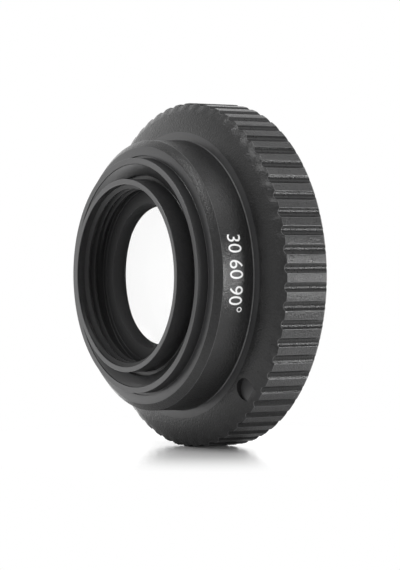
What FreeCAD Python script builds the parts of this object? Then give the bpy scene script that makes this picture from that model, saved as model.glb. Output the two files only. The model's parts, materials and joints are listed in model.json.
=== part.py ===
"""Screw-on wide-angle lens for an action camera: a turned metal body round a short stack of glass.

Lengths are in millimetres. The optical axis is the Y axis, and the origin is the centre of the rear rim, at
the mouth of the thread that screws onto the camera. The camera is on the +Y side and the scene is on the -Y
side. +Z is up, and the lens stands on its fluted grip with the axis level. A depth is measured forwards from
the rear rim, so it counts along -Y. A turned piece is drawn as an outline of (radius, depth) corners.
"""
import FreeCAD
import Part
import os
from math import cos, radians, sin, sqrt

# Fits between pieces
slide_gap = 0.02            # radial, turned piece in its bore
thread_gap = 0.05           # radial, screwed piece in its bore
glass_gap = 0.05            # radial, glass in its bore
cement_gap = 0.01           # layer of cement between the two glasses of the doublet
clamp_gap = 0.05            # along the axis, so that a ring presses the glass and not the step beside it
seal_gap = 0.02             # between a rubber ring and the walls of its groove

# Mount barrel, from its rear rim forwards
camera_thread_d = 23.0      # at the root of the inner thread
camera_thread_height = 0.5
camera_thread_length = 3.1
thread_relief = 0.1
thread_relief_length = 0.9
tube_wall = 0.65
root_groove_width = 0.55
root_groove_depth = 2.9
dish_width = 1.38
dish_inner_depth = 2.4
dish_rise = 1.0
barrel_groove_start = 5.0
flange_width = 0.92
flange_thickness = 0.8
nose_length = 0.74          # in front of the flange
nose_wall = 0.88
nose_margin = 0.1           # the nose reaches this far past the ring that it holds

# Rear body, from its spigot forwards
spigot_wall = 0.74
spigot_rim_depth = 1.33
spigot_edge_break = 0.05
seat_relief_width = 0.31
seat_relief = 0.18
seat_depth = 2.65           # the flat face that the camera's collar meets
seat_width = 1.11
neck_chamfer_width = 0.86
neck_chamfer_length = 0.82
neck_taper = 0.08
neck_edge_break = 0.12
body_thread_step = 0.8
body_thread_length = 1.6
body_groove_start = 0.3
counterbore_depth = 0.8

# Front housing, from its rear face forwards
rear_face_width = 1.08
shoulder_width = 2.55
shoulder_drop = 0.63
grip_slope_width = 1.17
grip_slope_length = 0.87
front_bevel_width = 0.26
front_bevel_length = 0.3
flute_count = 60
flute_width = 1.23
flute_depth = 0.3
first_flute_angle = 3.2     # from +X towards +Z
spanner_hole_d = 2.8
spanner_hole_depth = 1.2    # below the rear face
spanner_hole_radius = 20.1  # of the circle that the two holes lie on
spanner_hole_angles = (43.7, 223.7)
nose_gap = 0.12             # room round the barrel's nose in the housing's web
nose_end_gap = 0.36         # from the nose to the front of that web
front_wall = 2.35
bezel_seat_width = 1.25
bezel_bore_lead = 0.3       # the bezel's bore starts this far behind the shelf of the dome

# Rubber seals, by the diameter of their section
barrel_seal_d = 0.66
body_seal_d = 0.66
dome_seal_d = 0.84
groove_side_room = 0.17

# Rings, shims and gaskets
rear_retainer_clearance = 0.1   # it passes through the camera thread when it is screwed in
rear_retainer_thickness = 1.6
rear_retainer_width = 1.74
rear_window_narrowing = 0.36
rear_washer_thickness = 0.12
doublet_washer_thickness = 0.15
washer_inset = 0.1
barrel_retainer_lip = 0.75
barrel_retainer_thickness = 0.78
shim_thickness = 0.1
second_washer_thickness = 0.15
second_washer_lip = 0.3
dome_spacer_thickness = 0.6
dome_spacer_clearance = 0.1
dome_gasket_thickness = 0.2
bezel_skirt_wall = 0.85
bezel_lip_thickness = 1.12
bezel_lip_edge = 0.12
bezel_dome_gap = 0.1
bezel_flat_width = 0.3
spanner_slot_width = 1.6
spanner_slot_depth = 0.6

# Glass: the rise of a face is the height of its middle over its rim
rear_lens_step = 0.3
rear_lens_rise = 1.27
rear_lens_thickness = 3.15
rear_lens_seat = 0.4
inner_web = 0.4
doublet_rear_edge = 0.25
doublet_middle_rise = 2.2
doublet_front_edge = 0.4
doublet_front_rise = 3.03
second_lens_seat = 0.7
second_lens_edge = 0.85
second_lens_step = 0.8
second_lens_land = 0.95
second_lens_rear_rise = 2.2
second_lens_thickness = 1.35
second_lens_front_rise = 1.42
dome_edge = 1.0
dome_shelf_width = 0.46
dome_rise = 11.6
dome_thickness = 2.6
dome_rim_width = 2.73

cut_overrun = 1.0           # how far a cutting tool runs past the metal


def curve_radius(rise, rim):
    """Radius of a round face whose middle stands the given rise over its rim."""
    return (rim ** 2 + rise ** 2) / (2 * rise)


def fall(rise, rim, r):
    """How far that face has fallen from its middle, at radius r."""
    curve = curve_radius(rise, rim)
    return curve - sqrt(curve ** 2 - r ** 2)


# Radii, from the camera thread outwards
thread_r = camera_thread_d / 2
tube_r = thread_r + tube_wall
root_groove_r = tube_r + root_groove_width
barrel_r = root_groove_r + dish_width
rear_retainer_r = thread_r - camera_thread_height - rear_retainer_clearance
rear_retainer_bore_r = rear_retainer_r + thread_gap
rear_lens_bore_r = rear_retainer_bore_r - rear_lens_step
rear_lens_r = rear_lens_bore_r - glass_gap
inner_web_r = rear_lens_r - rear_lens_seat
rear_window_r = rear_retainer_r - rear_retainer_width
rear_lip_r = rear_window_r - rear_window_narrowing
doublet_bore_r = barrel_r - nose_wall
doublet_r = doublet_bore_r - glass_gap
barrel_retainer_r = doublet_bore_r - thread_gap
barrel_retainer_lip_r = barrel_retainer_r - barrel_retainer_lip
flange_r = barrel_r + flange_width
body_bore_r = barrel_r + slide_gap
counterbore_r = flange_r + slide_gap
spigot_r = body_bore_r + spigot_wall
seat_inner_r = spigot_r + seat_relief_width
seat_outer_r = seat_inner_r + seat_width
neck_r = seat_outer_r + neck_chamfer_width + neck_taper
body_thread_r = neck_r - body_thread_step
housing_bore_r = body_thread_r + thread_gap
rear_face_r = neck_r + rear_face_width
shoulder_r = rear_face_r + shoulder_width
grip_r = shoulder_r + grip_slope_width
web_r = barrel_r + nose_gap
second_lens_bore_r = web_r + second_lens_seat
second_lens_r = second_lens_bore_r - glass_gap
second_lens_top_r = second_lens_r - second_lens_step
second_lens_rear_r = second_lens_r - second_lens_land
bezel_bore_r = grip_r - front_wall
bezel_r = bezel_bore_r - thread_gap
bezel_skirt_r = bezel_r - bezel_skirt_wall
dome_bore_r = bezel_bore_r - bezel_seat_width
dome_r = dome_bore_r - glass_gap
dome_outer_rim = dome_r - dome_shelf_width
dome_inner_rim = dome_r - dome_rim_width

# Depths of the rear glass, from the camera thread forwards
retainer_rear = camera_thread_length + thread_relief_length
retainer_front = retainer_rear + rear_retainer_thickness
rear_lens_vertex = retainer_front - fall(rear_lens_rise, rear_lens_r, rear_lip_r)
rear_lens_front = rear_lens_vertex + rear_lens_thickness
inner_web_rear = rear_lens_front + rear_washer_thickness
inner_web_front = inner_web_rear + inner_web
doublet_depth = inner_web_front + doublet_washer_thickness
doublet_middle = doublet_depth + doublet_rear_edge + doublet_middle_rise
doublet_vertex = doublet_depth + doublet_rear_edge + cement_gap + doublet_front_edge + doublet_front_rise
barrel_retainer_rear = doublet_vertex - fall(doublet_front_rise, doublet_r, barrel_retainer_lip_r)
barrel_retainer_front = barrel_retainer_rear + barrel_retainer_thickness
nose_front = barrel_retainer_front + nose_margin

# Depths where the barrel, the rear body and the housing clamp together
barrel_groove_length = barrel_seal_d + 2 * groove_side_room
flange_front = nose_front - nose_length
flange_rear = flange_front - flange_thickness
counterbore_floor = flange_rear - shim_thickness
body_front = counterbore_floor + counterbore_depth
neck_start = seat_depth + neck_chamfer_length
neck_end = body_front - body_thread_length
body_groove_rear = neck_end + body_groove_start
body_groove_length = body_seal_d + 2 * seal_gap

# Depths of the housing and the front glass
shoulder_depth = neck_end + shoulder_drop
grip_start = shoulder_depth + grip_slope_length
web_front = nose_front + nose_end_gap
second_lens_rear = web_front + second_washer_thickness
second_lens_shelf = second_lens_rear + second_lens_edge
second_lens_hollow = second_lens_rear + second_lens_rear_rise
second_lens_vertex = second_lens_hollow + second_lens_thickness
dome_spacer_front = second_lens_shelf + dome_spacer_thickness
dome_rear = dome_spacer_front + dome_gasket_thickness
dome_shelf = dome_rear + dome_edge
dome_apex = dome_shelf + dome_rise
dome_hollow = dome_apex - dome_thickness
dome_hollow_rise = dome_hollow - dome_rear
dome_seal_depth = dome_shelf + seal_gap + dome_seal_d / 2
bezel_lip_rear = dome_seal_depth + dome_seal_d / 2 + seal_gap
bezel_bore_start = dome_shelf - bezel_bore_lead
housing_front = bezel_lip_rear + bezel_lip_thickness


def point(r, depth):
    """A point of an outline, in the plane that holds the optical axis and +X."""
    return FreeCAD.Vector(r, -depth, 0)


def turned(corners):
    """Turn a closed outline round the optical axis.

    A corner is a radius and a depth. With two more values, the edge that reaches it is an arc through them.
    """
    edges = []
    for before, corner in zip(corners[-1:] + corners[:-1], corners):
        start = point(before[0], before[1])
        end = point(corner[0], corner[1])
        if len(corner) == 4:
            edges.append(Part.Arc(start, point(corner[2], corner[3]), end).toShape())
        else:
            edges.append(Part.LineSegment(start, end).toShape())
    outline = Part.Face(Part.Wire(edges))
    return outline.revolve(FreeCAD.Vector(0, 0, 0), FreeCAD.Vector(0, 1, 0), 360)


def flat_ring(inner_r, outer_r, rear, front):
    """A plain ring with square edges."""
    return turned([(inner_r, rear), (outer_r, rear), (outer_r, front), (inner_r, front)])


def rubber_ring(centre_r, section_d, depth):
    """A seal with a round section."""
    return Part.makeTorus(centre_r, section_d / 2, FreeCAD.Vector(0, -depth, 0), FreeCAD.Vector(0, 1, 0))


def out_along(vertex, rise, rim, r, way=1):
    """Corner at radius r of a round face, reached by its arc from the axis; way is -1 for a rear face."""
    return (r, vertex - way * fall(rise, rim, r), r / 2, vertex - way * fall(rise, rim, r / 2))


def back_to_axis(vertex, rise, rim, r):
    """Corner on the axis of a face that bulges forwards, reached by its arc from radius r."""
    return (0, vertex, r / 2, vertex - fall(rise, rim, r / 2))


def slot_across(rear, front):
    """A bar along Z that cuts two slots, one above and one below the axis."""
    length = 2 * (grip_r + cut_overrun)
    corner = FreeCAD.Vector(-spanner_slot_width / 2, -front, -length / 2)
    return Part.makeBox(spanner_slot_width, front - rear, length, corner)


def around(radius, angle, depth):
    """A point at an angle from +X towards +Z."""
    turn = radians(angle)
    return FreeCAD.Vector(radius * cos(turn), -depth, radius * sin(turn))


def make_mount_barrel():
    """The tube with the camera thread, the dished recess round it, and the seats of the rear glass."""
    groove_bottom = body_bore_r - seal_gap - barrel_seal_d - seal_gap
    groove_end = barrel_groove_start + barrel_groove_length
    return turned([
        (thread_r, 0),
        (tube_r, 0),
        (tube_r, root_groove_depth),
        (root_groove_r, root_groove_depth),
        (root_groove_r, dish_inner_depth),
        (barrel_r, dish_inner_depth - dish_rise),
        (barrel_r, barrel_groove_start),
        (groove_bottom, barrel_groove_start),
        (groove_bottom, groove_end),
        (barrel_r, groove_end),
        (barrel_r, flange_rear),
        (flange_r, flange_rear),
        (flange_r, flange_front),
        (barrel_r, flange_front),
        (barrel_r, nose_front),
        (doublet_bore_r, nose_front),
        (doublet_bore_r, inner_web_front),
        (inner_web_r, inner_web_front),
        (inner_web_r, inner_web_rear),
        (rear_lens_bore_r, inner_web_rear),
        (rear_lens_bore_r, retainer_front + clamp_gap),
        (rear_retainer_bore_r, retainer_front + clamp_gap),
        (rear_retainer_bore_r, retainer_rear),
        (thread_r + thread_relief, retainer_rear),
        (thread_r + thread_relief, camera_thread_length),
        (thread_r, camera_thread_length),
    ])


def make_rear_retainer():
    """The ring behind the rear glass, with a window that narrows forwards."""
    return turned([
        (rear_window_r, retainer_rear),
        (rear_retainer_r, retainer_rear),
        (rear_retainer_r, retainer_front),
        (rear_lip_r, retainer_front),
    ])


def make_rear_lens():
    """The rear glass: a face that bulges towards the camera, and a flat front."""
    return turned([
        (0, rear_lens_vertex),
        out_along(rear_lens_vertex, rear_lens_rise, rear_lens_r, rear_lens_r, -1),
        (rear_lens_r, rear_lens_front),
        (0, rear_lens_front),
    ])


def make_doublet_rear():
    """The rear half of the doublet: flat behind, bulging in front."""
    return turned([
        (0, doublet_depth),
        (doublet_r, doublet_depth),
        (doublet_r, doublet_depth + doublet_rear_edge),
        back_to_axis(doublet_middle, doublet_middle_rise, doublet_r, doublet_r),
    ])


def make_doublet_front():
    """The front half of the doublet, cemented over the rear half."""
    rear = doublet_middle + cement_gap
    rim = doublet_vertex - doublet_front_rise
    return turned([
        (0, rear),
        out_along(rear, doublet_middle_rise, doublet_r, doublet_r),
        (doublet_r, rim),
        back_to_axis(doublet_vertex, doublet_front_rise, doublet_r, doublet_r),
    ])


def make_rear_body():
    """Spigot, seat face, printed neck, and the threaded front end that the housing screws onto."""
    groove_bottom = housing_bore_r - seal_gap - body_seal_d - seal_gap
    groove_end = body_groove_rear + body_groove_length
    return turned([
        (body_bore_r, spigot_rim_depth),
        (spigot_r - spigot_edge_break, spigot_rim_depth),
        (spigot_r, spigot_rim_depth + spigot_edge_break),
        (spigot_r, seat_depth + seat_relief),
        (seat_inner_r, seat_depth + seat_relief),
        (seat_inner_r, seat_depth),
        (seat_outer_r, seat_depth),
        (neck_r - neck_taper, neck_start),
        (neck_r, neck_end - neck_edge_break),
        (neck_r - neck_edge_break, neck_end),
        (body_thread_r, neck_end),
        (body_thread_r, body_groove_rear),
        (groove_bottom, body_groove_rear),
        (groove_bottom, groove_end),
        (body_thread_r, groove_end),
        (body_thread_r, body_front),
        (counterbore_r, body_front),
        (counterbore_r, counterbore_floor),
        (body_bore_r, counterbore_floor),
    ])


def flute_cutters():
    """Round cutters for the flutes, which run out of the grip through its rear slope and its front bevel."""
    cutter_r = curve_radius(flute_depth, flute_width / 2)
    start = shoulder_depth - cut_overrun
    length = housing_front + cut_overrun - start
    forwards = FreeCAD.Vector(0, -1, 0)
    cutters = []
    for number in range(flute_count):
        angle = first_flute_angle + number * 360 / flute_count
        centre = around(grip_r - flute_depth + cutter_r, angle, start)
        cutters.append(Part.makeCylinder(cutter_r, length, centre, forwards))
    return cutters


def spanner_hole_cutters():
    """Drills for the two blind holes in the shoulder, which a pin spanner turns the housing by."""
    floor = neck_end + spanner_hole_depth
    backwards = FreeCAD.Vector(0, 1, 0)
    length = spanner_hole_depth + cut_overrun
    drills = []
    for angle in spanner_hole_angles:
        centre = around(spanner_hole_radius, angle, floor)
        drills.append(Part.makeCylinder(spanner_hole_d / 2, length, centre, backwards))
    return drills


def make_front_housing():
    """The wide front shell: shoulder, fluted grip, and the seats of the second lens, dome and bezel."""
    shell = turned([
        (housing_bore_r, neck_end),
        (rear_face_r, neck_end),
        (shoulder_r, shoulder_depth),
        (grip_r, grip_start),
        (grip_r, housing_front - front_bevel_length),
        (grip_r - front_bevel_width, housing_front),
        (bezel_bore_r, housing_front),
        (bezel_bore_r, bezel_bore_start),
        (dome_bore_r, bezel_bore_start),
        (dome_bore_r, second_lens_shelf - clamp_gap),
        (second_lens_bore_r, second_lens_shelf - clamp_gap),
        (second_lens_bore_r, web_front),
        (web_r, web_front),
        (web_r, flange_front),
        (housing_bore_r, flange_front),
    ])
    return shell.cut(flute_cutters() + spanner_hole_cutters())


def make_second_lens():
    """The meniscus behind the dome: hollow behind, bulging in front, with a stepped rim."""
    return turned([
        (0, second_lens_hollow),
        out_along(second_lens_hollow, second_lens_rear_rise, second_lens_rear_r, second_lens_rear_r),
        (second_lens_r, second_lens_rear),
        (second_lens_r, second_lens_shelf),
        (second_lens_top_r, second_lens_shelf),
        (second_lens_top_r, second_lens_vertex - second_lens_front_rise),
        back_to_axis(second_lens_vertex, second_lens_front_rise, second_lens_top_r, second_lens_top_r),
    ])


def make_front_dome():
    """The deep domed front glass, with a flat shelf round its rim for the seal."""
    return turned([
        (0, dome_hollow),
        out_along(dome_hollow, dome_hollow_rise, dome_inner_rim, dome_inner_rim),
        (dome_r, dome_rear),
        (dome_r, dome_shelf),
        (dome_outer_rim, dome_shelf),
        back_to_axis(dome_apex, dome_rise, dome_outer_rim, dome_outer_rim),
    ])


def dome_outer_at(depth):
    """Radius of the outside of the dome at a depth in front of its shelf."""
    curve = curve_radius(dome_rise, dome_outer_rim)
    return sqrt(curve ** 2 - (depth - dome_apex + curve) ** 2)


def make_dome_seal():
    """The seal that the bezel presses into the corner between the dome and its shelf."""
    curve = curve_radius(dome_rise, dome_outer_rim)
    from_centre = curve + seal_gap + dome_seal_d / 2
    above_centre = dome_seal_depth - (dome_apex - curve)
    return rubber_ring(sqrt(from_centre ** 2 - above_centre ** 2), dome_seal_d, dome_seal_depth)


def make_bezel_ring():
    """The screwed ring that holds the dome: a skirt, a lip that slopes in to the glass, two spanner slots."""
    lip_r = dome_outer_at(bezel_lip_rear) + bezel_dome_gap
    ring = turned([
        (bezel_skirt_r, bezel_bore_start + clamp_gap),
        (bezel_r, bezel_bore_start + clamp_gap),
        (bezel_r, housing_front),
        (bezel_r - bezel_flat_width, housing_front),
        (lip_r, bezel_lip_rear + bezel_lip_edge),
        (lip_r, bezel_lip_rear),
        (bezel_skirt_r, bezel_lip_rear),
    ])
    return ring.cut(slot_across(housing_front - spanner_slot_depth, housing_front + cut_overrun))


def build():
    """Every piece by its name, from the camera forwards."""
    return {
        "mount_barrel": make_mount_barrel(),
        "rear_retainer": make_rear_retainer(),
        "rear_lens": make_rear_lens(),
        "rear_lens_washer": flat_ring(
            inner_web_r + washer_inset, rear_lens_r, rear_lens_front, inner_web_rear),
        "doublet_washer": flat_ring(
            inner_web_r + washer_inset, doublet_r, inner_web_front, doublet_depth),
        "doublet_rear": make_doublet_rear(),
        "doublet_front": make_doublet_front(),
        "barrel_retainer": flat_ring(
            barrel_retainer_lip_r, barrel_retainer_r, barrel_retainer_rear, barrel_retainer_front),
        "barrel_seal": rubber_ring(
            body_bore_r - seal_gap - barrel_seal_d / 2, barrel_seal_d,
            barrel_groove_start + barrel_groove_length / 2),
        "barrel_shim": flat_ring(body_bore_r, flange_r, counterbore_floor, flange_rear),
        "rear_body": make_rear_body(),
        "body_seal": rubber_ring(
            housing_bore_r - seal_gap - body_seal_d / 2, body_seal_d,
            body_groove_rear + body_groove_length / 2),
        "front_housing": make_front_housing(),
        "second_lens_washer": flat_ring(
            web_r - second_washer_lip, second_lens_r, web_front, second_lens_rear),
        "second_lens": make_second_lens(),
        "dome_spacer": flat_ring(
            second_lens_top_r + dome_spacer_clearance, dome_r, second_lens_shelf, dome_spacer_front),
        "dome_gasket": flat_ring(dome_inner_rim, dome_r, dome_spacer_front, dome_rear),
        "front_dome": make_front_dome(),
        "dome_seal": make_dome_seal(),
        "bezel_ring": make_bezel_ring(),
    }


os.makedirs("parts", exist_ok=True)
for name, shape in build().items():
    shape.exportStep("parts/" + name + ".step")
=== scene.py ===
import json
import math
from functools import lru_cache

import bpy
from bpy.props import FloatProperty, FloatVectorProperty, IntProperty, PointerProperty, StringProperty
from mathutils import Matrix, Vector


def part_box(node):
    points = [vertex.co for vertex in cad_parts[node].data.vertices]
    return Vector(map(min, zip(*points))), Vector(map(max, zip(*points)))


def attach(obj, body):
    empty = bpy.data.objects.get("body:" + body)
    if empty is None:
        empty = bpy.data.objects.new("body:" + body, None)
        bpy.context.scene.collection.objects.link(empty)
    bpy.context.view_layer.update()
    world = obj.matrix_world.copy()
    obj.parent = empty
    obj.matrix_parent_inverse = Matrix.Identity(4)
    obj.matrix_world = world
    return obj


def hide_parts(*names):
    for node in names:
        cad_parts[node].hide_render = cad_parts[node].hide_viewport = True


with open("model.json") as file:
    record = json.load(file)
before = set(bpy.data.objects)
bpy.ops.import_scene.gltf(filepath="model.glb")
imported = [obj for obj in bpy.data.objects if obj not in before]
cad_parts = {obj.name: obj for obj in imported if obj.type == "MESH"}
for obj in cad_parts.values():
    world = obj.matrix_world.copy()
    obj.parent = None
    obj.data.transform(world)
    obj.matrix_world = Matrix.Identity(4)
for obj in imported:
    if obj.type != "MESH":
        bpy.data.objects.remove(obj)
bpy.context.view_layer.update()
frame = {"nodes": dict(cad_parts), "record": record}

bl_info = {
    "name": "Wide-angle lens",
    "version": (1, 0, 0),
    "blender": (4, 5, 0),
    "location": "View3D > Sidebar > Lens",
    "description": "Builds a screw-on wide-angle lens, piece by piece, with its finishes and its stage",
    "category": "Add Mesh",
}

MM = 0.001
BODY = "root"
MERGE = MM / 1000  # points nearer to each other than this are one point
FLANGE = 0.8 * MM  # thickness of the barrel's flange
SEAL_GROOVE = 0.68 * MM  # how far a seal's groove reaches in from the seal's outside
PLAY = 0.05 * MM  # gap between a piece and what it sits in
TIGHT = 0.02 * MM  # the same for pieces that fit closely
THIN_BREAK = 0.03 * MM  # width of the broken edges of thin rings
WHITE = (1, 1, 1, 1)
DULL = 1.0  # a radius that holds all broken edges, so that none gets the paler edge finish with its painted highlight
FLUTE_COLUMNS = 10  # columns of faces across a flute
LAND_COLUMNS = 3  # and across the land beside it


@lru_cache(maxsize=None)
def reach(node):
    """Outer radius, rear depth and front depth of a turned node; depths count forwards from the rear rim."""
    low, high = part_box(node)
    return high.x, -high.y, -low.y


def mount(name):
    """A mount of the packed record by its name."""
    return next(item for item in frame["record"]["mounts"] if item["name"] == name)


THREAD = mount("camera_thread")["dims"]


def length(title, size, text):
    """A length property, written in millimetres and kept in metres."""
    return FloatProperty(name=title, description=text, default=size * MM, unit='LENGTH', precision=5)


def bearing(title, degrees, text):
    """An angle property, written in degrees."""
    return FloatProperty(name=title, description=text, default=math.radians(degrees), subtype='ANGLE')


def amount(title, value, text):
    """A plain number."""
    return FloatProperty(name=title, description=text, default=value)


def tone(title, colour, text):
    """A colour property."""
    return FloatVectorProperty(
        name=title, description=text, default=colour, size=3, min=0, max=1, subtype='COLOR')


class BarrelSizes(bpy.types.PropertyGroup):
    """Sizes of the rear tube, its thread, and the ring and recess round it."""
    thread_root: length("Thread root", THREAD["r_mm"], "Radius at the root of the camera thread")
    thread_length: length("Thread length", THREAD["length_mm"], "Depth at which the camera thread ends")
    thread_height: length("Thread height", 0.5, "How far the turns stand in from the root")
    thread_pitch: length("Thread pitch", 1.0, "From one turn of the thread to the next")
    thread_base: length("Thread base", 0.78, "Width of a turn at its root")
    thread_crest: length("Thread crest", 0.2, "Width of a turn at its crest")
    first_turn: length("First turn", 0.44, "Depth of the first crest at +X, where the turns start")
    relief: length("Thread relief", 0.1, "Depth of the groove where the thread runs out")
    wall: length("Tube wall", 0.65, "Wall of the tube")
    root_groove: length("Root groove", 0.55, "Width of the groove at the root of the tube")
    root_depth: length("Root depth", 2.9, "Depth of that groove below the rear rim")
    dish_width: length("Dish width", 1.38, "Width of the sloping floor of the recess")
    dish_inner: length("Dish inner edge", 2.4, "Depth of the inner edge of the sloping floor")
    dish_outer: length("Dish outer edge", 1.4, "Depth of the outer edge of the sloping floor")
    nose_wall: length("Nose wall", 0.88, "Wall of the nose that holds the middle glass")
    window_width: length("Window ring", 1.74, "Width of the ring round the rear window")
    window_taper: length("Window taper", 0.36, "How much the window narrows forwards")
    edge: length("Edge break", 0.05, "Width of the broken edges")


class BodySizes(bpy.types.PropertyGroup):
    """Sizes of the rear body."""
    spigot: length("Spigot radius", 14.84, "Radius of the spigot inside the seat flat")
    relief_depth: length("Seat relief", 2.83, "Depth of the small groove beside the seat flat")
    seat_inner: length("Seat inner radius", 15.15, "Inner radius of the seat flat")
    seat_width: length("Seat width", 1.11, "Width of the seat flat")
    seat_depth: length("Seat depth", -mount("seat_face")["pos_m"][1] / MM, "Depth of the seat flat")
    chamfer_width: length("Chamfer width", 0.86, "Width of the blasted chamfer")
    chamfer_length: length("Chamfer length", 0.82, "Length of the blasted chamfer")
    taper: length("Neck taper", 0.08, "How much the neck widens forwards")
    bead: length("Neck bead", 0.09, "Height of the small bead at the front of the neck")
    thread_step: length("Thread step", 0.8, "From the neck in to the thread that holds the housing")
    edge: length("Edge break", 0.035, "Width of the broken edges")


class HousingSizes(bpy.types.PropertyGroup):
    """Sizes of the front housing and its fluted grip."""
    flat_width: length("Rear flat", 1.08, "Width of the turned rear flat")
    shoulder_width: length("Shoulder width", 2.55, "Width of the blasted shoulder")
    shoulder_drop: length("Shoulder drop", 0.63, "How far the shoulder falls away")
    slope_width: length("Slope width", 1.17, "Width of the steeper slope behind the grip")
    slope_length: length("Slope length", 0.87, "Length of that slope")
    bevel_width: length("Bevel width", 0.26, "Width of the bevel in front of the grip")
    bevel_length: length("Bevel length", 0.3, "Length of that bevel")
    flutes: IntProperty(name="Flutes", description="Number of flutes round the grip", default=60, min=3)
    flute_width: length("Flute width", 1.23, "Width of a flute at the grip's surface")
    flute_depth: length("Flute depth", 0.3, "Depth of a flute")
    flute_angle: bearing("First flute", 3.2, "Angle of the first flute from +X towards +Z")
    hole_radius: length("Spanner hole", 1.4, "Radius of a spanner hole")
    hole_depth: length("Hole depth", 0.8, "Depth of a spanner hole below the rear flat")
    hole_circle: length("Hole circle", 20.1, "Radius of the circle that the spanner holes lie on")
    hole_angle: bearing("Hole angle", 223.7, "Angle of the hole that shows, from +X towards +Z")
    edge: length("Edge break", 0.07, "Width of the broken edges")


class GlassSizes(bpy.types.PropertyGroup):
    """How far the middle of each glass face stands over its rim, and what shapes the rims."""
    rear_rise: length("Rear glass", 1.27, "Rise of the rear glass towards the camera")
    doublet_rise: length("Middle glass", 3.03, "Rise of the front of the middle glass")
    hollow_rise: length("Second glass, rear", 2.2, "Rise of the hollow rear face of the second glass")
    second_rise: length("Second glass, front", 1.42, "Rise of the front face of the second glass")
    second_land: length("Second glass, land", 0.95, "Width of the flat rim behind the second glass")
    second_edge: length("Second glass, edge", 0.85, "Length of the wide part of its rim")
    second_step: length("Second glass, step", 0.8, "Width of the step in its rim")
    dome_edge: length("Dome edge", 1.0, "Length of the dome's edge")
    dome_shelf: length("Dome shelf", 0.46, "Width of the shelf round the dome")
    dome_wall: length("Dome wall", 2.6, "Thickness of the dome at its middle")
    dome_rim: length("Dome rim", 2.73, "Width of the dome's flat rear rim")


class MarkSizes(bpy.types.PropertyGroup):
    """The plain numbers printed on the neck."""
    text: StringProperty(name="Numbers", description="Plain numbers printed on the neck", default="30 60 90°")
    height: length("Height", 1.98, "Height of the numbers")
    base: length("Base line", 4.45, "Depth of the line that the numbers stand on")
    start: bearing("Start", 17.4, "Angle above the equator where the print starts")
    end: bearing("End", -14.5, "Angle where the print ends")
    weight: amount("Weight", -0.002, "How much thicker the strokes are, as a part of the letter size")
    film: length("Film", 0.014, "Thickness of the paint over the metal")


class Tones(bpy.types.PropertyGroup):
    """Colours of the finishes."""
    blasted: tone("Blasted black", (0.006, 0.006, 0.0064), "Black anodising over bead blasting")
    # Painted light: the lands' paler tone is partly wear and partly painted light, lit lands against grooves
    # in shade.
    land: tone("Grip black", (0.018, 0.018, 0.0187), "The same on the lands of the grip, a little worn")
    # Painted sheen: the turned faces' paler tone partly stands in for their reflections.
    turned: tone("Turned black", (0.034, 0.034, 0.0352), "Black anodising over turned faces")
    tube: tone("Tube black", (0.02, 0.02, 0.0209), "Anodising of the tube and its thread")
    # Painted highlight: the edges' paler tone is partly wear and partly a painted highlight along them.
    edge: tone("Edges", (0.052, 0.052, 0.0535), "Broken edges of the metal")
    inner: tone("Inner black", (0.02, 0.02, 0.0207), "Matte black inside the lens")
    paint: tone("Print", (0.86, 0.86, 0.86), "Paint of the numbers")
    rubber: tone("Rubber", (0.02, 0.02, 0.02), "Seals")
    film: tone("Film", (0.02, 0.02, 0.02), "Washers between glass and metal")
    foil: tone("Foil", (0.6, 0.48, 0.24), "Shim")
    coating: tone("Coated glass", (1.0, 1.0, 0.998), "Glass with a thin coating")
    glass: tone("Clear glass", (1.0, 1.0, 0.998), "Glass inside the lens")


class StageSizes(bpy.types.PropertyGroup):
    """The camera and what stands round the lens."""
    azimuth: bearing("Camera azimuth", 236.36, "Direction of the camera's view, from +Y towards -X")
    elevation: bearing("Camera elevation", 1.0, "How far the camera looks down")
    focal: amount("Focal length", 145.26, "Focal length of the camera, whose picture is 36 mm long")
    camera: FloatVectorProperty(
        name="Camera place", description="Where the camera stands", size=3, unit='LENGTH', precision=5,
        default=(-246.3 * MM, 152.4 * MM, 3.88 * MM))
    floor: length("Floor", 6000, "Width of the floor")
    floor_glow: amount("Floor glow", 0.02, "Light that the floor adds where the camera sees it")
    floor_shade: amount("Floor shade", 0.4, "How much darker mirrors see the floor near the grip")
    shadow: length("Shadow", 14.0, "How far from the grip's middle the floor starts to fade to white")
    fade: amount("Fade", 2.6, "Where the floor is white, as a multiple of that")
    even: amount("Even light", 1.0, "Strength of the light from all round")
    backdrop: amount("Backdrop", 1.9, "How bright mirrors see the backdrop")
    low: amount("Low backdrop", 0.8, "How far the backdrop's middle lies below the view")
    room: amount("Room", 0.42, "How bright mirrors see the room on the camera's side")
    dark_edge: amount("Dark edge", -0.2, "Where the room ends, as the cosine of the angle to the backdrop")
    bright_edge: amount("Bright edge", 0.9, "Where the backdrop is at its brightest, as the same cosine")
    ceiling: amount("Ceiling light", 0.2, "How bright mirrors see the ceiling light")
    side_light: amount("Side light", 40.0, "How bright mirrors see the side light")
    upper_light: amount("Upper light", 1.1, "How bright mirrors see the light above the side light")
    rear_light: amount("Rear light", 5.5, "How bright mirrors see the light above the camera's side")


def sizes():
    """The scene's settings for the lens."""
    return bpy.context.scene.wide_lens


class LensSettings(bpy.types.PropertyGroup):
    """All settings of the lens."""
    barrel: PointerProperty(type=BarrelSizes)
    body: PointerProperty(type=BodySizes)
    housing: PointerProperty(type=HousingSizes)
    glass: PointerProperty(type=GlassSizes)
    mark: PointerProperty(type=MarkSizes)
    tones: PointerProperty(type=Tones)
    stage: PointerProperty(type=StageSizes)


class Wire:
    """A shader socket that takes part in sums."""

    def __init__(self, finish, socket):
        self.finish = finish
        self.socket = socket

    def maths(self, operation, first, second):
        """The result of a sum of two sockets or numbers."""
        return self.finish.node('ShaderNodeMath', first, second, settings={"operation": operation})

    def __add__(self, other):
        return self.maths('ADD', self, other)

    def __radd__(self, other):
        return self.maths('ADD', other, self)

    def __sub__(self, other):
        return self.maths('SUBTRACT', self, other)

    def __mul__(self, other):
        return self.maths('MULTIPLY', self, other)

    def __pow__(self, other):
        return self.maths('POWER', self, other)


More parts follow.
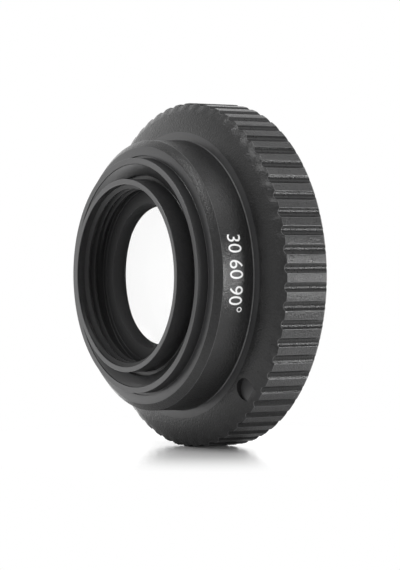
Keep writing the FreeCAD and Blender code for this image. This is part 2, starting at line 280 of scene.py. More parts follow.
class Finish:
    """A material that is being made: its nodes and its surface."""

    def __init__(self, name, world=None):
        owner = world or bpy.data.materials.new(name)
        owner.use_nodes = True
        self.owner = owner
        self.tree = owner.node_tree
        self.tree.nodes.clear()

    def node(self, kind, *values, out=0, settings=None, **named):
        """Add a node with its settings, and the values or links of its sockets, in order or by name."""
        made = self.tree.nodes.new(kind)
        for key, value in (settings or {}).items():
            setattr(made, key, value)
        for number, value in enumerate(values):
            self.feed(made.inputs[number], value)
        for label, value in named.items():
            self.feed(made.inputs[label.replace("_", " ")], value)
        return Wire(self, made.outputs[out])

    def feed(self, socket, value):
        """Link a socket or set its constant."""
        if isinstance(value, Wire):
            self.tree.links.new(value.socket, socket)
        else:
            socket.default_value = value

    def place(self):
        """The place on the piece."""
        return self.node('ShaderNodeTexCoord', out="Object")

    def noise(self, size, detail=2.0, roughness=0.5, place=None):
        """Soft random spots of about that size."""
        return self.node(
            'ShaderNodeTexNoise', Vector=place or self.place(), Scale=1 / size, Detail=detail,
            Roughness=roughness)

    def blend(self, share, first, second):
        """A colour between two colours, which the node takes at its sockets 6 and 7 and gives at 2."""
        settings = {"data_type": 'RGBA', "clamp_factor": True}
        mixed = self.node('ShaderNodeMix', share, out=2, settings=settings)
        self.feed(mixed.socket.node.inputs[6], first)
        self.feed(mixed.socket.node.inputs[7], second)
        return mixed

    def radius(self):
        """Distance from the optical axis."""
        split = self.node('ShaderNodeSeparateXYZ', self.place())
        across = Wire(self, split.socket.node.outputs["X"])
        up = Wire(self, split.socket.node.outputs["Z"])
        return (across * across + up * up) ** 0.5

    def ray(self, kind):
        """1 for rays of a kind."""
        return self.node('ShaderNodeLightPath', out=f"Is {kind} Ray")

    def seen(self):
        """1 for what the camera sees directly or through glass."""
        direct = self.ray("Camera")
        return direct.maths('MAXIMUM', direct, self.ray("Transmission"))

    def ease(self, value, start, end, low=0.0, high=1.0):
        """A soft step from low at the start to high at the end."""
        settings = {"interpolation_type": 'SMOOTHSTEP'}
        return self.node('ShaderNodeMapRange', value, start, end, low, high, settings=settings)

    def glow(self, strength, shade=1.0):
        """A plain light."""
        return self.node('ShaderNodeEmission', (shade, shade, shade, 1), strength)

    def mix(self, share, first, second):
        """A shader between two shaders."""
        return self.node('ShaderNodeMixShader', share, first, second)

    def bump(self, height, strength, distance):
        """A normal from a height."""
        return self.node('ShaderNodeBump', Strength=strength, Distance=distance, Height=height)

    def surface(self, **named):
        """Make the main shader and wire it to the output."""
        self.output(self.node('ShaderNodeBsdfPrincipled', **named))

    def output(self, shader, kind='ShaderNodeOutputMaterial'):
        """Wire a shader to the output."""
        target = self.tree.nodes.new(kind)
        self.tree.links.new(shader.socket, target.inputs["Surface"])


def wash(colour, share):
    """A colour made darker or lighter, with its alpha."""
    return (colour[0] * share, colour[1] * share, colour[2] * share, 1)


def blasted_finish(name, colour, grit, bite, rough, gloss=1.72):
    """Black anodising over bead blasting: a grain as deep as the bite, faint clouds, and the gloss as IOR."""
    contrast, cloudiness = 2.4, 0.9
    darkest, palest = 0.2, 1.9
    grain_rough, cloud_rough = 0.3, 0.05
    finish = Finish(name)
    grain = finish.noise(grit * MM, 2.0, 0.65)
    cloud = finish.noise(3.2 * MM, 3.0)
    share = (grain - 0.5) * contrast + cloud * cloudiness
    finish.surface(
        Base_Color=finish.blend(share, wash(colour, darkest), wash(colour, palest)), IOR=gloss,
        Roughness=rough + grain * grain_rough + cloud * cloud_rough,
        Normal=finish.bump(grain, 1.0, bite * MM))
    return finish.owner


def turned_finish(name, colour):
    """Black anodising over a turned face: concentric tool marks under a smoother skin."""
    darkest, palest = 0.6, 1.4
    strength, depth = 0.45, 0.012 * MM
    finish = Finish(name)
    across = finish.node('ShaderNodeCombineXYZ', finish.radius(), 0.0, 0.0)
    marks = finish.noise(0.05 * MM, 2.0, 0.6, across)
    grain = finish.noise(0.09 * MM)
    cloud = finish.noise(4.0 * MM)
    tinted = finish.blend(marks * 0.6 + cloud * 0.4, wash(colour, darkest), wash(colour, palest))
    finish.surface(
        Base_Color=tinted, Roughness=0.27 + grain * 0.12 + marks * 0.08, IOR=1.8,
        Normal=finish.bump(marks * 0.8 + grain * 0.25, strength, depth))
    return finish.owner


def grained_finish(name, colour, grain, shades, rough, bump=None, contrast=1.0, **more):
    """A finish with one grain, whose spots vary the colour that is named.

    Grain gives the spots' size in millimetres, detail and roughness; shades the darkest and the palest share
    of the colour; rough the least roughness and what the spots add; bump its strength and its depth in
    millimetres.
    """
    colour = getattr(sizes().tones, colour)
    finish = Finish(name)
    spots = finish.noise(grain[0] * MM, *grain[1:])
    tinted = finish.blend((spots - 0.5) * contrast + 0.5, wash(colour, shades[0]), wash(colour, shades[1]))
    if bump:
        more["Normal"] = finish.bump(spots, bump[0], bump[1] * MM)
    finish.surface(Base_Color=tinted, Roughness=rough[0] + spots * rough[1], **more)
    return finish.owner


# The finishes with one grain, as grained_finish takes them.
GRAINED = {
    # The blasted tube, greyer than the body round it.
    "tube_black": {
        "colour": "tube", "grain": (0.36, 2.0, 0.7), "contrast": 1.6, "shades": (0.6, 1.4),
        "rough": (0.34, 0.2), "bump": (0.8, 0.04), "IOR": 1.7},
    # The turned thread: like the inside, but smoother.
    "thread_black": {
        "colour": "tube", "grain": (0.15, 2.0, 0.6), "shades": (0.5, 1.1), "rough": (0.48, 0.12),
        "bump": (0.2, 0.01), "IOR": 1.5},
    # Broken edges, smoother and a little worn; their paler colour is partly wear and partly a painted
    # highlight where they catch the light.
    "edge_black": {
        "colour": "edge", "grain": (0.5, 3.0, 0.6), "contrast": 1.8, "shades": (0.5, 1.6),
        "rough": (0.3, 0.2), "bump": (0.3, 0.01), "IOR": 1.9},
    # Matte black inside the lens, also put on the spigot wall as painted shade.
    "inside_black": {
        "colour": "inner", "grain": (0.12, 2.0, 0.6), "shades": (0.6, 1.5), "rough": (0.5, 0.15),
        "bump": (0.35, 0.015), "IOR": 1.45},
    # White printing ink, a little uneven.
    "print_white": {
        "colour": "paint", "grain": (0.16, 3.0, 0.6), "shades": (0.9, 1.05), "rough": (0.5, 0.1),
        "bump": (0.15, 0.01)},
    # Seal rubber, dull and slightly mottled.
    "black_rubber": {
        "colour": "rubber", "grain": (0.3, 3.0), "shades": (0.7, 1.5), "rough": (0.62, 0.12),
        "bump": (0.2, 0.02)},
    # Thin matte film.
    "black_film": {"colour": "film", "grain": (0.25, 2.0), "shades": (0.4, 1.0), "rough": (0.7, 0.1)},
    # Rolled brass foil.
    "brass_foil": {
        "colour": "foil", "grain": (0.6, 3.0), "shades": (0.8, 1.1), "rough": (0.25, 0.15),
        "Metallic": 1.0},
}


def glass_finish(name, colour):
    """Polished glass with hardly any dust."""
    bend = 1.52
    finish = Finish(name)
    dust = finish.noise(2.0 * MM)
    tinted = finish.blend(dust, wash(colour, 0.998), wash(colour, 1.0))
    plain = finish.node(
        'ShaderNodeBsdfPrincipled', Base_Color=tinted, Roughness=0.0, Transmission_Weight=1.0, IOR=bend)
    coated = finish.node('ShaderNodeBsdfRefraction', Color=WHITE, Roughness=0.0, IOR=bend)
    finish.output(finish.mix(0.1 + dust * 0.06, coated, plain))
    return finish.owner


def make_finish(name):
    """Make a finish; the blasted ones have their grit and bite in millimetres, and their roughness."""
    tones = sizes().tones
    if name in GRAINED:
        return grained_finish(name, **GRAINED[name])
    maker, *values = {
        "blasted_black": (blasted_finish, tones.blasted, 0.25, 0.065, 0.17),
        "flute_black": (blasted_finish, tones.blasted, 0.28, 0.05, 0.14, 1.48),
        # Painted light: the lands get a paler tone than the grooves, partly wear and partly lit against
        # shaded grooves.
        "land_black": (blasted_finish, tones.land, 0.22, 0.07, 0.16),
        "turned_black": (turned_finish, tones.turned),
        "polished_coated_glass": (glass_finish, tones.coating),
        "polished_clear_glass": (glass_finish, tones.glass),
    }[name]
    return maker(name, *values)


# The finish that stands for each slot of the record.
FINISHES = {
    "anodised_black": "blasted_black", "inner_black": "inside_black", "shim_black": "black_film",
    "bright_shim": "brass_foil", "coated_glass": "polished_coated_glass",
    "clear_glass": "polished_clear_glass", "seal_rubber": "black_rubber",
}


def material(name):
    """A finish by its name, made the first time it is needed."""
    return bpy.data.materials.get(name) or make_finish(name)


def arc(vertex, rise, rim, start, end, count=28, way=1):
    """Points of a round glass face between two radii; its middle stands the rise over its rim."""
    curve = (rim ** 2 + rise ** 2) / (2 * rise)
    points = []
    for step in range(count + 1):
        radius = start + (end - start) * step / count
        points.append((radius, vertex - way * (curve - math.sqrt(curve ** 2 - radius ** 2))))
    return points


def primitive(kind, **settings):
    """Add a mesh primitive, alone selected and with its transform applied."""
    bpy.ops.object.select_all(action='DESELECT')
    getattr(bpy.ops.mesh, f"primitive_{kind}_add")(**settings)
    bpy.ops.object.transform_apply()
    return bpy.context.object


def draw(name, corners, closed=True):
    """Draw an outline of radii and depths from corner to corner; its piece stays in edit mode."""
    piece = primitive("plane", size=MM)
    piece.name = name
    piece.data.name = name
    bpy.ops.object.mode_set(mode='EDIT')
    bpy.ops.mesh.select_all(action='SELECT')
    bpy.ops.mesh.merge(type='CENTER')
    bpy.ops.transform.translate(value=(corners[0][0], -corners[0][1], 0))
    path = corners + corners[:1] if closed else corners
    for before, corner in zip(path, path[1:]):
        move = (corner[0] - before[0], before[1] - corner[1], 0)
        bpy.ops.mesh.extrude_region_move(TRANSFORM_OT_translate={"value": move})
    merge_points()
    return piece


def lathe(name, corners, steps=240, closed=True):
    """Draw an outline and spin it round the optical axis."""
    piece = draw(name, corners, closed)
    bpy.ops.mesh.spin(steps=steps, angle=2 * math.pi, axis=(0, 1, 0))
    tidy_mesh()
    bpy.ops.object.mode_set(mode='OBJECT')
    return piece


def merge_points():
    """In edit mode: merge what coincides, and select all."""
    bpy.ops.mesh.select_all(action='SELECT')
    bpy.ops.mesh.remove_doubles(threshold=MERGE)
    bpy.ops.mesh.select_all(action='SELECT')


def tidy_mesh():
    """In edit mode: merge what coincides and turn all faces outwards."""
    merge_points()
    bpy.ops.mesh.normals_make_consistent()


def clean(piece):
    """The same for a piece, from object mode."""
    choose(piece)
    bpy.ops.object.mode_set(mode='EDIT')
    tidy_mesh()
    bpy.ops.object.mode_set(mode='OBJECT')


def choose(piece):
    """Make a piece the only one that operators act on."""
    bpy.ops.object.select_all(action='DESELECT')
    piece.select_set(True)
    bpy.context.view_layer.objects.active = piece


def modify(piece, kind, **settings):
    """Add a modifier and apply it."""
    choose(piece)
    bpy.ops.object.modifier_add(type=kind)
    modifier = piece.modifiers[-1]
    for key, value in settings.items():
        setattr(modifier, key, value)
    bpy.ops.object.modifier_apply(modifier=modifier.name)


def break_edges(piece, width):
    """Bevel every sharp edge; the new faces get the second, brighter finish."""
    piece.data.materials.append(material("blasted_black"))
    piece.data.materials.append(material("edge_black"))
    modify(piece, 'BEVEL', width=width, limit_method='ANGLE', angle_limit=math.radians(24), material=1)


def smooth(piece):
    """Smooth shading that keeps flat faces flat."""
    choose(piece)
    bpy.ops.object.shade_smooth_by_angle(angle=math.radians(40))
    modify(piece, 'WEIGHTED_NORMAL', keep_sharp=True)


def finish_faces(piece, main, *others, inside=0):
    """Give a piece its main finish, and others where their tests say so.

    Broken edges outside the given radius get a brighter finish.
    """
    edges = [
        face.index for face in piece.data.polygons
        if face.material_index == 1 and math.hypot(face.center.x, face.center.z) > inside]
    piece.data.materials.clear()
    piece.data.materials.append(material(main))
    for index, (name, test) in enumerate(others, 1):
        piece.data.materials.append(material(name))
        for face in piece.data.polygons:
            radius = math.hypot(face.center.x, face.center.z)
            if test(radius, -face.center.y, face.normal):
                face.material_index = index
    if edges:
        piece.data.materials.append(material("edge_black"))
        for number in edges:
            piece.data.polygons[number].material_index = len(others) + 1


def settle(piece, slot, *nodes):
    """Fix a finished piece to the body, in place of the nodes that it stands for."""
    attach(piece, BODY)
    if nodes:
        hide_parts(*nodes)


def make_barrel():
    """The tube, the recess round it, and the seats of the rear and middle glass."""
    size = sizes().barrel
    retainer_r, retainer_rear, retainer_front = reach("rear_retainer")
    lens_r = reach("rear_lens")[0]
    flange_r, _, nose_front = reach("mount_barrel")
    flange_rear = reach("barrel_shim")[2]
    ring_r, groove_rear, groove_front = reach("barrel_seal")
    tube_r = size.thread_root + size.wall
    root_r = tube_r + size.root_groove
    outer_r = root_r + size.dish_width
    web_rear = reach("rear_lens_washer")[2]
    web_front = reach("doublet_washer")[1]
    web_r = lens_r - 0.4 * MM
    nose_r = outer_r - size.nose_wall
    groove_r = ring_r - SEAL_GROOVE
    groove_room = 0.17 * MM
    groove_rear = groove_rear - groove_room
    groove_front = groove_front + groove_room
    flange_front = flange_rear + FLANGE
    thread_relief = size.thread_root + size.relief
    rim = 0.3 * MM
    thread_wall = size.thread_root + 0.2 * MM
    thread_start = 0.06 * MM
    piece = lathe("tube_and_seat", [
        (size.thread_root, 0), (tube_r, 0), (tube_r, size.root_depth), (root_r, size.root_depth),
        (root_r, size.dish_inner), (outer_r, size.dish_outer),
        (outer_r, groove_rear), (groove_r, groove_rear), (groove_r, groove_front), (outer_r, groove_front),
        (outer_r, flange_rear), (flange_r, flange_rear), (flange_r, flange_front), (outer_r, flange_front),
        (outer_r, nose_front), (nose_r, nose_front), (nose_r, web_front),
        (web_r, web_front), (web_r, web_rear), (lens_r + PLAY, web_rear),
        (lens_r + PLAY, retainer_front + PLAY), (retainer_r + PLAY, retainer_front + PLAY),
        (retainer_r + PLAY, retainer_rear), (thread_relief, retainer_rear),
        (thread_relief, size.thread_length), (size.thread_root, size.thread_length),
    ])
    break_edges(piece, size.edge)
    smooth(piece)
    finish_faces(
        piece, "tube_black",
        ("turned_black", lambda r, d, n: d < rim or (root_r < r < outer_r and d < size.dish_inner)),
        ("thread_black", lambda r, d, n: r < thread_wall and thread_start < d < retainer_rear),
        ("inside_black", lambda r, d, n: r < size.thread_root + PLAY and d >= retainer_rear),
        inside=thread_wall,
    )
    settle(piece, "anodised_black", "mount_barrel")


def make_thread():
    """The turns of the camera thread, which fade out at both ends."""
    size = sizes().barrel
    root = size.thread_root + 0.03 * MM
    sunk = root + 0.02 * MM
    rounding = 0.03 * MM
    crest = size.thread_root - size.thread_height
    half_base = size.thread_base / 2
    half_crest = size.thread_crest / 2
    outline = [
        (root, -half_base), (crest + 2 * rounding, -half_crest - rounding), (crest, -half_crest),
        (crest, half_crest), (crest + 2 * rounding, half_crest + rounding), (root, half_base),
    ]
    piece = draw("thread_turns", outline)
    bpy.ops.object.mode_set(mode='OBJECT')
    turns, steps = 3, 180
    fading = 0.22 * steps
    modify(
        piece, 'SCREW', axis='Y', angle=2 * math.pi, iterations=turns, screw_offset=-size.thread_pitch,
        steps=steps, render_steps=steps, use_smooth_shade=True)
    corners = len(outline)
    last = steps * turns
    for index, vertex in enumerate(piece.data.vertices):
        step = index // corners
        fade = min(1, min(step, last - step) / fading)
        fade = fade * fade * (3 - 2 * fade)
        radius = math.hypot(vertex.co.x, vertex.co.z)
        wanted = sunk - (sunk - radius) * fade
        vertex.co.x *= wanted / radius
        vertex.co.z *= wanted / radius
        vertex.co.y -= size.first_turn
    bpy.ops.object.mode_set(mode='EDIT')
    bpy.ops.mesh.select_all(action='DESELECT')
    bpy.ops.mesh.select_non_manifold()
    bpy.ops.mesh.edge_face_add()
    tidy_mesh()
    bpy.ops.object.mode_set(mode='OBJECT')
    smooth(piece)
    finish_faces(piece, "thread_black")
    settle(piece, "anodised_black")


def make_window_ring():
    """The ring round the rear window."""
    size = sizes().barrel
    outer, rear, front = reach("rear_retainer")
    window = outer - size.window_width
    piece = lathe("window_ring", [
        (window, rear), (outer, rear), (outer, front), (window - size.window_taper, front),
    ])
    break_edges(piece, THIN_BREAK)
    smooth(piece)
    finish_faces(piece, "inside_black", inside=DULL)
    settle(piece, "inner_black", "rear_retainer")


def subtract(piece, cutter):
    """Cut one mesh out of another and delete the cutter."""
    modify(piece, 'BOOLEAN', operation='DIFFERENCE', solver='EXACT', object=cutter)
    bpy.data.objects.remove(cutter, do_unlink=True)


def make_rear_body():
    """Spigot, seat flat, chamfer, printed neck and the thread that holds the housing."""
    size = sizes().body
    barrel = sizes().barrel
    neck_r, rim_depth, front = reach("rear_body")
    counterbore_r = reach("mount_barrel")[0] + TIGHT
    counterbore = reach("barrel_shim")[1]
    ring_r, groove_rear, groove_front = reach("body_seal")
    groove_r = ring_r - SEAL_GROOVE
    neck_end = reach("front_housing")[1] - 0.01 * MM
    bead_start = neck_end - 1.6 * size.bead
    bead_r = neck_r + size.bead
    seat_outer = size.seat_inner + size.seat_width
    bore = barrel.thread_root + barrel.wall + barrel.root_groove + barrel.dish_width + TIGHT
    thread_r = neck_r - size.thread_step
    seat_end = size.relief_depth + 0.01 * MM
    piece = lathe("rear_body_shell", [
        (bore, rim_depth), (size.spigot, rim_depth), (size.spigot, size.relief_depth),
        (size.seat_inner, size.relief_depth), (size.seat_inner, size.seat_depth),
        (seat_outer, size.seat_depth),
        (seat_outer + size.chamfer_width, size.seat_depth + size.chamfer_length),
        (neck_r, bead_start), (bead_r, bead_start + size.bead), (bead_r, neck_end), (thread_r, neck_end),
        (thread_r, groove_rear - TIGHT), (groove_r, groove_rear - TIGHT),
        (groove_r, groove_front + TIGHT), (thread_r, groove_front + TIGHT), (thread_r, front),
        (counterbore_r, front), (counterbore_r, counterbore), (bore, counterbore),
    ], steps=300)
    break_edges(piece, size.edge)
    smooth(piece)
    finish_faces(
        piece, "blasted_black",
        ("turned_black", lambda r, d, n: d < seat_end and r < seat_outer + TIGHT),
        # Painted highlight: the bead at the neck's front takes the paler edge finish, a bright line along it.
        ("edge_black", lambda r, d, n: bead_start < d < neck_end and r > neck_r),
        # Painted shade: the spigot wall takes the darker, duller inside finish.
        ("inside_black", lambda r, d, n: abs(r - size.spigot) < TIGHT and rim_depth < d < size.relief_depth),
    )
    settle(piece, "anodised_black", "rear_body")


def flute_floor(angle):
    """Radius of the grip at an angle, with the flutes cut in."""
    size = sizes().housing
    grip = reach("front_housing")[0]
    half = size.flute_width / 2
    cutter = (half ** 2 + size.flute_depth ** 2) / (2 * size.flute_depth)
    centre = grip - size.flute_depth + cutter
    step = 2 * math.pi / size.flutes
    off = (angle - size.flute_angle + step / 2) % step - step / 2
    across = centre * math.sin(off)
    if abs(across) >= cutter:
        return grip
    return min(grip, centre * math.cos(off) - math.sqrt(cutter ** 2 - across ** 2))


def column_angle(number):
    """Angle of a column of the fluted mesh: columns crowd into the flutes and lie at their edges."""
    size = sizes().housing
    grip = reach("front_housing")[0]
    step = 2 * math.pi / size.flutes
    half = math.asin(size.flute_width / 2 / grip)
    flute, place = divmod(number, FLUTE_COLUMNS + LAND_COLUMNS)
    start = size.flute_angle + flute * step - half
    if place <= FLUTE_COLUMNS:
        return start + 2 * half * place / FLUTE_COLUMNS
    return start + 2 * half + (step - 2 * half) * (place - FLUTE_COLUMNS) / LAND_COLUMNS


def make_housing():
    """The wide front shell with its shoulder, spanner holes and fluted grip."""
    size = sizes().housing
    grip, rear, front = reach("front_housing")
    neck_r = reach("rear_body")[0]
    bore = neck_r - sizes().body.thread_step + PLAY
    flat_edge = neck_r + size.flat_width
    shoulder = flat_edge + size.shoulder_width
    grip_start = rear + size.shoulder_drop + size.slope_length
    flange_front = reach("barrel_shim")[2] + FLANGE
    web_front = reach("second_lens_washer")[1]
    second_r = reach("second_lens")[0]
    spacer_r, spacer_rear, _ = reach("dome_spacer")
    bezel_r, bezel_rear, _ = reach("bezel_ring")
    web_r = second_r - 0.65 * MM
    near = 0.01 * MM
    columns = size.flutes * (FLUTE_COLUMNS + LAND_COLUMNS)
    piece = lathe("grip_shell", [
        (bore, rear), (flat_edge, rear), (shoulder, rear + size.shoulder_drop),
        (grip, grip_start), (grip, front - size.bevel_length), (grip - size.bevel_width, front),
        (bezel_r + PLAY, front), (bezel_r + PLAY, bezel_rear - PLAY),
        (spacer_r + PLAY, bezel_rear - PLAY), (spacer_r + PLAY, spacer_rear - PLAY),
        (second_r + PLAY, spacer_rear - PLAY), (second_r + PLAY, web_front),
        (web_r, web_front), (web_r, flange_front), (bore, flange_front),
    ], steps=columns)
    step = 2 * math.pi / columns
    for vertex in piece.data.vertices:
        radius = math.hypot(vertex.co.x, vertex.co.z)
        number = round(math.atan2(vertex.co.z, vertex.co.x) / step) % columns
        angle = column_angle(number)
        floor = flute_floor(angle)
        depth = -vertex.co.y
        if radius > grip - near and depth < grip_start + near:
            depth = grip_start - (grip - floor) * size.slope_length / size.slope_width
            radius = floor
        elif radius > grip - size.bevel_width - near:
            left = size.bevel_width - (grip - floor)
            if left < 3 * near:
                radius, depth = floor, front
            elif radius > grip - near:
                radius, depth = floor, front - left * size.bevel_length / size.bevel_width
        vertex.co = (radius * math.cos(angle), -depth, radius * math.sin(angle))
    clean(piece)
    break_edges(piece, size.edge)
    hole_floor = rear + size.hole_depth
    tall = 4 * MM
    for angle in (size.hole_angle, size.hole_angle + math.pi):
        place = (
            size.hole_circle * math.cos(angle), tall / 2 - hole_floor, size.hole_circle * math.sin(angle))
        subtract(piece, primitive(
            "cylinder", vertices=96, radius=size.hole_radius, depth=tall, location=place,
            rotation=(math.pi / 2, 0, 0)))
    smooth(piece)
    flute_r = grip - size.flute_depth - PLAY
    finish_faces(
        piece, "blasted_black",
        ("turned_black", lambda r, d, n: d < rear + 3 * near and r < flat_edge + TIGHT),
        ("turned_black", lambda r, d, n: n.y > 0.99 and r > flat_edge and abs(d - hole_floor) < PLAY),
        ("flute_black", lambda r, d, n: abs(n.y) < 0.3 and r > flute_r),
        ("land_black", lambda r, d, n: r > grip - TIGHT),
        ("inside_black", lambda r, d, n: r < bezel_r and d > flange_front - 0.1 * MM),
    )
    settle(piece, "anodised_black", "front_housing")


def make_bezel():
    """The ring that holds the dome: skirt, sloping lip, and spanner slots above and below the axis."""
    wide, deep, long = 1.6 * MM, 0.6 * MM, 50 * MM
    outer, rear, front = reach("bezel_ring")
    lip_rear = reach("dome_seal")[2] + TIGHT
    lip_r = dome_radius(lip_rear) + 0.1 * MM
    lip_edge = 0.12 * MM
    rim = 0.3 * MM
    skirt = outer - 0.85 * MM
    piece = lathe("bezel", [
        (skirt, rear), (outer, rear), (outer, front), (outer - rim, front),
        (lip_r, lip_rear + lip_edge), (lip_r, lip_rear), (skirt, lip_rear),
    ])
    subtract(piece, primitive("cube", size=1, location=(0, -front, 0), scale=(wide, 2 * deep, long)))
    break_edges(piece, THIN_BREAK)
    smooth(piece)
    finish_faces(piece, "turned_black")
    settle(piece, "anodised_black", "bezel_ring")


def dome_radius(depth):
    """Radius of the outside of the dome at a depth."""
    size = sizes().glass
    edge_r, rear, apex = reach("front_dome")
    shelf = rear + size.dome_edge
    rim = edge_r - size.dome_shelf
    rise = apex - shelf
    curve = (rim ** 2 + rise ** 2) / (2 * rise)
    return math.sqrt(curve ** 2 - (depth - apex + curve) ** 2)


def make_rear_glass():
    """The rear glass."""
    radius, vertex, front = reach("rear_lens")
    face = arc(vertex, sizes().glass.rear_rise, radius, 0, radius, way=-1)
    turn_glass("rear_glass", face + [(radius, front), (0, front)], "coated_glass", "rear_lens")


def make_middle_glass():
    """The cemented pair, as one block of glass, because the cement between its halves doesn't show."""
    radius, rear, _ = reach("doublet_rear")
    face = arc(reach("doublet_front")[2], sizes().glass.doublet_rise, radius, radius, 0)
    turn_glass(
        "middle_glass", [(0, rear), (radius, rear)] + face, "clear_glass", "doublet_rear", "doublet_front")


def make_second_glass():
    """The meniscus behind the dome."""
    size = sizes().glass
    radius, rear, vertex = reach("second_lens")
    land = radius - size.second_land
    top = radius - size.second_step
    shelf = rear + size.second_edge
    hollow = arc(rear + size.hollow_rise, size.hollow_rise, land, 0, land)
    face = arc(vertex, size.second_rise, top, top, 0)
    turn_glass(
        "second_glass", hollow + [(radius, rear), (radius, shelf), (top, shelf)] + face, "clear_glass",
        "second_lens")


def make_dome():
    """The deep domed front glass."""
    size = sizes().glass
    radius, rear, apex = reach("front_dome")
    shelf = rear + size.dome_edge
    rim = radius - size.dome_shelf
    inner = radius - size.dome_rim
    vertex = apex - size.dome_wall
    hollow = arc(vertex, vertex - rear, inner, 0, inner, 40)
    face = arc(apex, apex - shelf, rim, rim, 0, 40)
    turn_glass("dome_glass", hollow + [(radius, rear), (radius, shelf)] + face, "coated_glass", "front_dome")


def turn_glass(name, outline, slot, *nodes):
    """Turn a glass, smooth on its polished faces and sharp at its rim."""
    piece = lathe(name, outline, closed=False)
    choose(piece)
    bpy.ops.object.shade_smooth_by_angle(angle=math.radians(30))
    finish_faces(piece, FINISHES[slot])
    settle(piece, slot, *nodes)


def make_inner_rings():
    """The rings that show through the dome: turned again with more sides than the frame has."""
    for node, slot in (
            ("barrel_retainer", "inner_black"), ("dome_spacer", "inner_black"),
            ("second_lens_washer", "shim_black"), ("doublet_washer", "shim_black"),
            ("dome_gasket", "seal_rubber")):
        outer, rear, front = reach(node)
        inner = min(math.hypot(vertex.co.x, vertex.co.z) for vertex in frame["nodes"][node].data.vertices)
        piece = lathe(
            node + "_ring", [(inner, rear), (outer, rear), (outer, front), (inner, front)], steps=160)
        break_edges(piece, min(THIN_BREAK, (front - rear) / 5))
        smooth(piece)
        finish_faces(piece, FINISHES[slot], inside=DULL)
        settle(piece, slot, node)


def make_numbers():
    """Plain numbers printed on the neck, read from top to bottom with their heads towards the grip."""
    size = sizes().mark
    neck = sizes().body
    neck_r = reach("rear_body")[0]
    neck_end = reach("front_housing")[1]
    neck_start = neck.seat_depth + neck.chamfer_length
    cuts = 40
    bpy.ops.object.select_all(action='DESELECT')
    bpy.ops.object.text_add()
    text = bpy.context.object
    text.name = "printed_numbers"
    text.data.body = size.text
    text.data.size = 1
    text.data.offset = size.weight
    text.data.extrude = 0.01
    text.data.resolution_u = 6
    bpy.ops.object.convert(target='MESH')
    piece = bpy.context.object
    points = [vertex.co for vertex in piece.data.vertices]
    left, right = min(point.x for point in points), max(point.x for point in points)
    low, high = min(point.y for point in points), max(point.y for point in points)
    bpy.ops.object.mode_set(mode='EDIT')
    for number in range(1, cuts):
        bpy.ops.mesh.select_all(action='SELECT')
        place = left + (right - left) * number / cuts
        bpy.ops.mesh.bisect(plane_co=(place, 0, 0), plane_no=(1, 0, 0))
    bpy.ops.object.mode_set(mode='OBJECT')
    for vertex in piece.data.vertices:
        along = (vertex.co.x - left) / (right - left)
        up = (vertex.co.y - low) / (high - low)
        angle = size.start + (size.end - size.start) * along
        depth = size.base + size.height * up
        share = (depth - neck_start) / (neck_end - neck_start)
        surface = neck_r - neck.taper * (1 - share)
        radius = surface + (size.film if vertex.co.z > 0 else -size.film)
        vertex.co = (-radius * math.cos(angle), -depth, radius * math.sin(angle))
    clean(piece)
    piece.data.name = "printed_numbers"
    finish_faces(piece, "print_white")
    settle(piece, "anodised_black")


def finish_frame():
    """Give the frame's own nodes, which stay hidden inside the lens, their finishes."""
    for part in frame["record"]["subparts"]:
        for slot in frame["nodes"][part["node"]].material_slots:
            slot.material = material(FINISHES[part["material_slot"]])


# The lights, in millimetres: place, width and height. Each is as bright as the property of its name says.
LIGHTS = {
    "ceiling": ((-120, 40, 330), 300, 220),
    "side_light": ((-385, -265, -6), 100, 60),
    "upper_light": ((-190, -260, 400), 280, 220),
    "rear_light": ((8, 235, 323), 120, 120),
}


def make_stage():
    """Floor, world, lights and camera."""
    size = sizes().stage
    make_floor(size)
    make_world(size)
    for name, (place, wide, high) in LIGHTS.items():
        area_light(name, Vector(place) * MM, wide * MM, high * MM, getattr(size, name))
    camera = bpy.data.cameras.new("camera")
    camera.sensor_width = 36
    camera.lens = size.focal
    camera.clip_start = 10 * MM
    camera.clip_end = 20
    bpy.context.scene.camera = aim(camera, size.camera, view_direction(size))
    bpy.context.scene.view_settings.view_transform = 'Standard'


def view_direction(size):
    """The direction that the camera looks in."""
    turn, tilt = size.azimuth, size.elevation
    return Vector((-math.sin(turn) * math.cos(tilt), math.cos(turn) * math.cos(tilt), -math.sin(tilt)))


def area_light(name, place, wide, high, glow):
    """A soft rectangular light that points at the middle of the lens; its glow is what a mirror shows."""
    light = bpy.data.lights.new(name, 'AREA')
    light.shape = 'RECTANGLE'
    light.size = wide
    light.size_y = high
    light.energy = glow * math.pi * light.size * light.size_y
    middle = Vector((0, -8 * MM, 0))
    aim(light, place, middle - place)


def aim(data, place, direction):
    """Set up a light or a camera at a place, and turn it in a direction."""
    holder = bpy.data.objects.new(data.name, data)
    bpy.context.scene.collection.objects.link(holder)
    holder.location = place
    holder.rotation_euler = direction.to_track_quat('-Z', 'Y').to_euler()
    return holder


def make_floor(size):
    """A pale floor: shaded near the grip, and further out white to the camera and clear to mirrors."""
    grip, rear, front = reach("front_housing")
    floor = primitive("grid", x_subdivisions=4, y_subdivisions=4, size=size.floor, location=(0, 0, -grip))
    floor.name = "floor"
    finish = Finish("pale_floor")
    mirrored = finish.ray("Glossy")
    middle = (0, -(rear + front) / 2, -grip)
    away = finish.node(
        'ShaderNodeVectorMath', finish.place(), middle, out="Value", settings={"operation": 'DISTANCE'})
    blank = finish.ease(away, size.shadow, size.shadow * size.fade)
    lit = finish.node(
        'ShaderNodeBsdfPrincipled', Base_Color=(0.96, 0.96, 0.96, 1), Roughness=0.2, IOR=1.4,
        Specular_IOR_Level=0.35)
    clear = finish.node('ShaderNodeBsdfTransparent', WHITE)
    white = finish.glow(1.0)
    lifted = finish.node('ShaderNodeAddShader', lit, finish.glow(size.floor_glow))
    near = finish.mix(finish.seen(), lit, lifted)
    near = finish.mix(mirrored * size.floor_shade, near, finish.glow(0.0, 0.0))
    near = finish.mix(mirrored * blank, near, clear)
    near = finish.mix(finish.seen() * blank, near, white)
    finish.output(finish.mix(finish.ray("Transmission"), near, white))
    floor.data.materials.append(finish.owner)


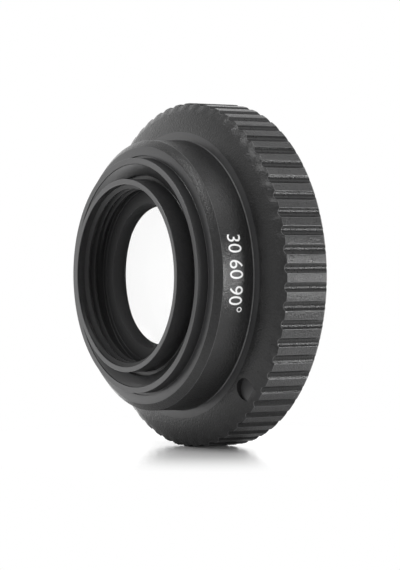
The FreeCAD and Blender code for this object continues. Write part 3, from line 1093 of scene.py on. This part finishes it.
def make_world(size):
    """White to the camera and through the glass; mirrors see a bright backdrop and a dim room before it."""
    world = bpy.data.worlds.new("studio")
    bpy.context.scene.world = world
    finish = Finish("studio", world)
    aside = finish.node('ShaderNodeTexCoord', out="Generated")
    ahead = (view_direction(size) - Vector((0, 0, size.low))).normalized()
    ahead = finish.node(
        'ShaderNodeVectorMath', aside, ahead, out="Value", settings={"operation": 'DOT_PRODUCT'})
    rise = finish.ease(ahead, size.dark_edge, size.bright_edge, size.room, size.backdrop)
    even, mirrored, white = (
        finish.node('ShaderNodeBackground', WHITE, strength) for strength in (size.even, rise, 1.0))
    lit = finish.mix(finish.ray("Glossy"), even, mirrored)
    finish.output(finish.mix(finish.seen(), lit, white), 'ShaderNodeOutputWorld')


def operator(idname, label, *makers):
    """An operator class that makes a piece or a group of like pieces, with their functions' own text."""
    def execute(self, context):
        for make in makers:
            make()
        return {'FINISHED'}
    return type("LENS_OT_" + idname, (bpy.types.Operator,), {
        "bl_idname": "lens." + idname,
        "bl_label": label,
        "bl_options": {'REGISTER', 'UNDO'},
        "__doc__": " ".join(make.__doc__ for make in makers),
        "execute": execute,
    })


OPERATORS = (
    operator("barrel", "Mount barrel", make_barrel),
    operator("thread", "Camera thread", make_thread),
    operator("window_ring", "Window ring", make_window_ring),
    operator("rear_body", "Rear body", make_rear_body),
    operator("housing", "Front housing", make_housing),
    operator("bezel", "Bezel", make_bezel),
    operator("glass", "Glass", make_rear_glass, make_middle_glass, make_second_glass, make_dome),
    operator("inner_rings", "Inner rings", make_inner_rings),
    operator("numbers", "Printed numbers", make_numbers),
    operator("frame_finish", "Hidden pieces", finish_frame),
    operator("stage", "Stage", make_stage),
)


class LENS_PT_panel(bpy.types.Panel):
    """The lens's operators, in the order in which they are run."""
    bl_idname = "LENS_PT_panel"
    bl_label = "Wide-angle lens"
    bl_space_type = 'VIEW_3D'
    bl_region_type = 'UI'
    bl_category = "Lens"

    def draw(self, context):
        column = self.layout.column()
        for made in OPERATORS:
            column.operator(made.bl_idname)


CLASSES = (
    BarrelSizes, BodySizes, HousingSizes, GlassSizes, MarkSizes, Tones, StageSizes, LensSettings, *OPERATORS,
    LENS_PT_panel)


def register():
    for item in CLASSES:
        bpy.utils.register_class(item)
    bpy.types.Scene.wide_lens = PointerProperty(type=LensSettings)


def unregister():
    del bpy.types.Scene.wide_lens
    for item in reversed(CLASSES):
        bpy.utils.unregister_class(item)


def main():
    register()
    for made in OPERATORS:
        group, name = made.bl_idname.split(".")
        getattr(getattr(bpy.ops, group), name)()
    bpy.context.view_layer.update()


if __name__ == "__main__":
    main()
